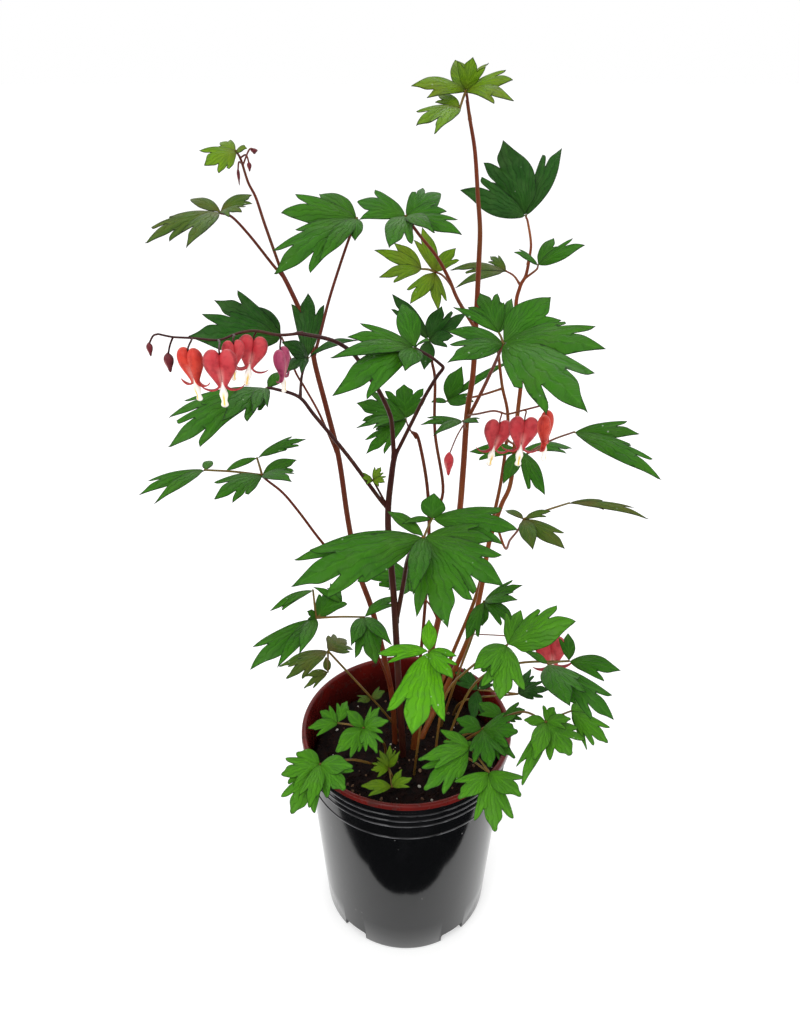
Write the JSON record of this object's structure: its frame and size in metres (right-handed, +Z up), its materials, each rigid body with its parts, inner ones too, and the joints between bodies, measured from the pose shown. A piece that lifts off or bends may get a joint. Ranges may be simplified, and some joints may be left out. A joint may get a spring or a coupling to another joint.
{
  "type": "potted bleeding heart plant",
  "caption": "Bleeding heart plant with cut leaves, red stems and hanging heart-shaped flowers, growing in a round black nursery pot.",
  "frame": {"origin": "centre of the pot's base, on the surface it stands on", "axes": "+Z up along the pot's axis, +X to the right and -Y towards the viewer of the front"},
  "size_m": [0.3112, 0.2184, 0.6428],
  "materials": {
    "pot_plastic": "glossy black outside, red-brown inside and on the rolled rim",
    "potting_soil": "crumbly, dark, matte",
    "stem_skin": "smooth red-brown skin",
    "leaf_green": "soft satin green, paler beneath",
    "outer_petal": "satin coral red",
    "inner_petal": "satin white"
  },
  "bodies": {
    "root": {"heart_left_1": "outer_petal", "heart_left_1_inner": "inner_petal", "heart_left_2": "outer_petal", "heart_left_2_inner": "inner_petal", "heart_left_3": "outer_petal", "heart_left_3_inner": "inner_petal", "heart_left_4": "outer_petal", "heart_left_5": "outer_petal", "heart_low": "outer_petal", "heart_right_1": "outer_petal", "heart_right_1_inner": "inner_petal", "heart_right_2": "outer_petal", "heart_right_2_inner": "inner_petal", "heart_right_3": "outer_petal", "leaf_back_middle": "leaf_green", "leaf_back_right": "leaf_green", "leaf_behind_hearts": "leaf_green", "leaf_big_right": "leaf_green", "leaf_bright": "leaf_green", "leaf_centre": "leaf_green", "leaf_crest": "leaf_green", "leaf_crown_left": "leaf_green", "leaf_curled": "leaf_green", "leaf_dark_behind": "leaf_green", "leaf_far_left": "leaf_green", "leaf_far_right": "leaf_green", "leaf_fork": "leaf_green", "leaf_heart_height": "leaf_green", "leaf_left_spread": "leaf_green", "leaf_low_left": "leaf_green", "leaf_low_middle": "leaf_green", "leaf_low_outer": "leaf_green", "leaf_node": "leaf_green", "leaf_pot_back": "leaf_green", "leaf_pot_left": "leaf_green", "leaf_pot_rear": "leaf_green", "leaf_pot_right": "leaf_green", "leaf_right_back": "leaf_green", "leaf_right_front": "leaf_green", "leaf_right_low": "leaf_green", "leaf_right_reach": "leaf_green", "leaf_right_shoulder": "leaf_green", "leaf_rim_far_right": "leaf_green", "leaf_rim_left": "leaf_green", "leaf_rim_right": "leaf_green", "leaf_seedling": "leaf_green", "leaf_shoot_tip": "leaf_green", "leaf_under_hearts": "leaf_green", "leaf_upper_left": "leaf_green", "leaf_upper_middle": "leaf_green", "leaf_upper_right": "leaf_green", "leaf_young": "leaf_green", "pot": "pot_plastic", "shoot_back": "stem_skin", "shoot_front": "stem_skin", "shoot_left": "stem_skin", "shoot_right": "stem_skin", "shoot_tall": "stem_skin", "shoot_thin": "stem_skin", "soil": "potting_soil"}
  },
  "joints": []
}
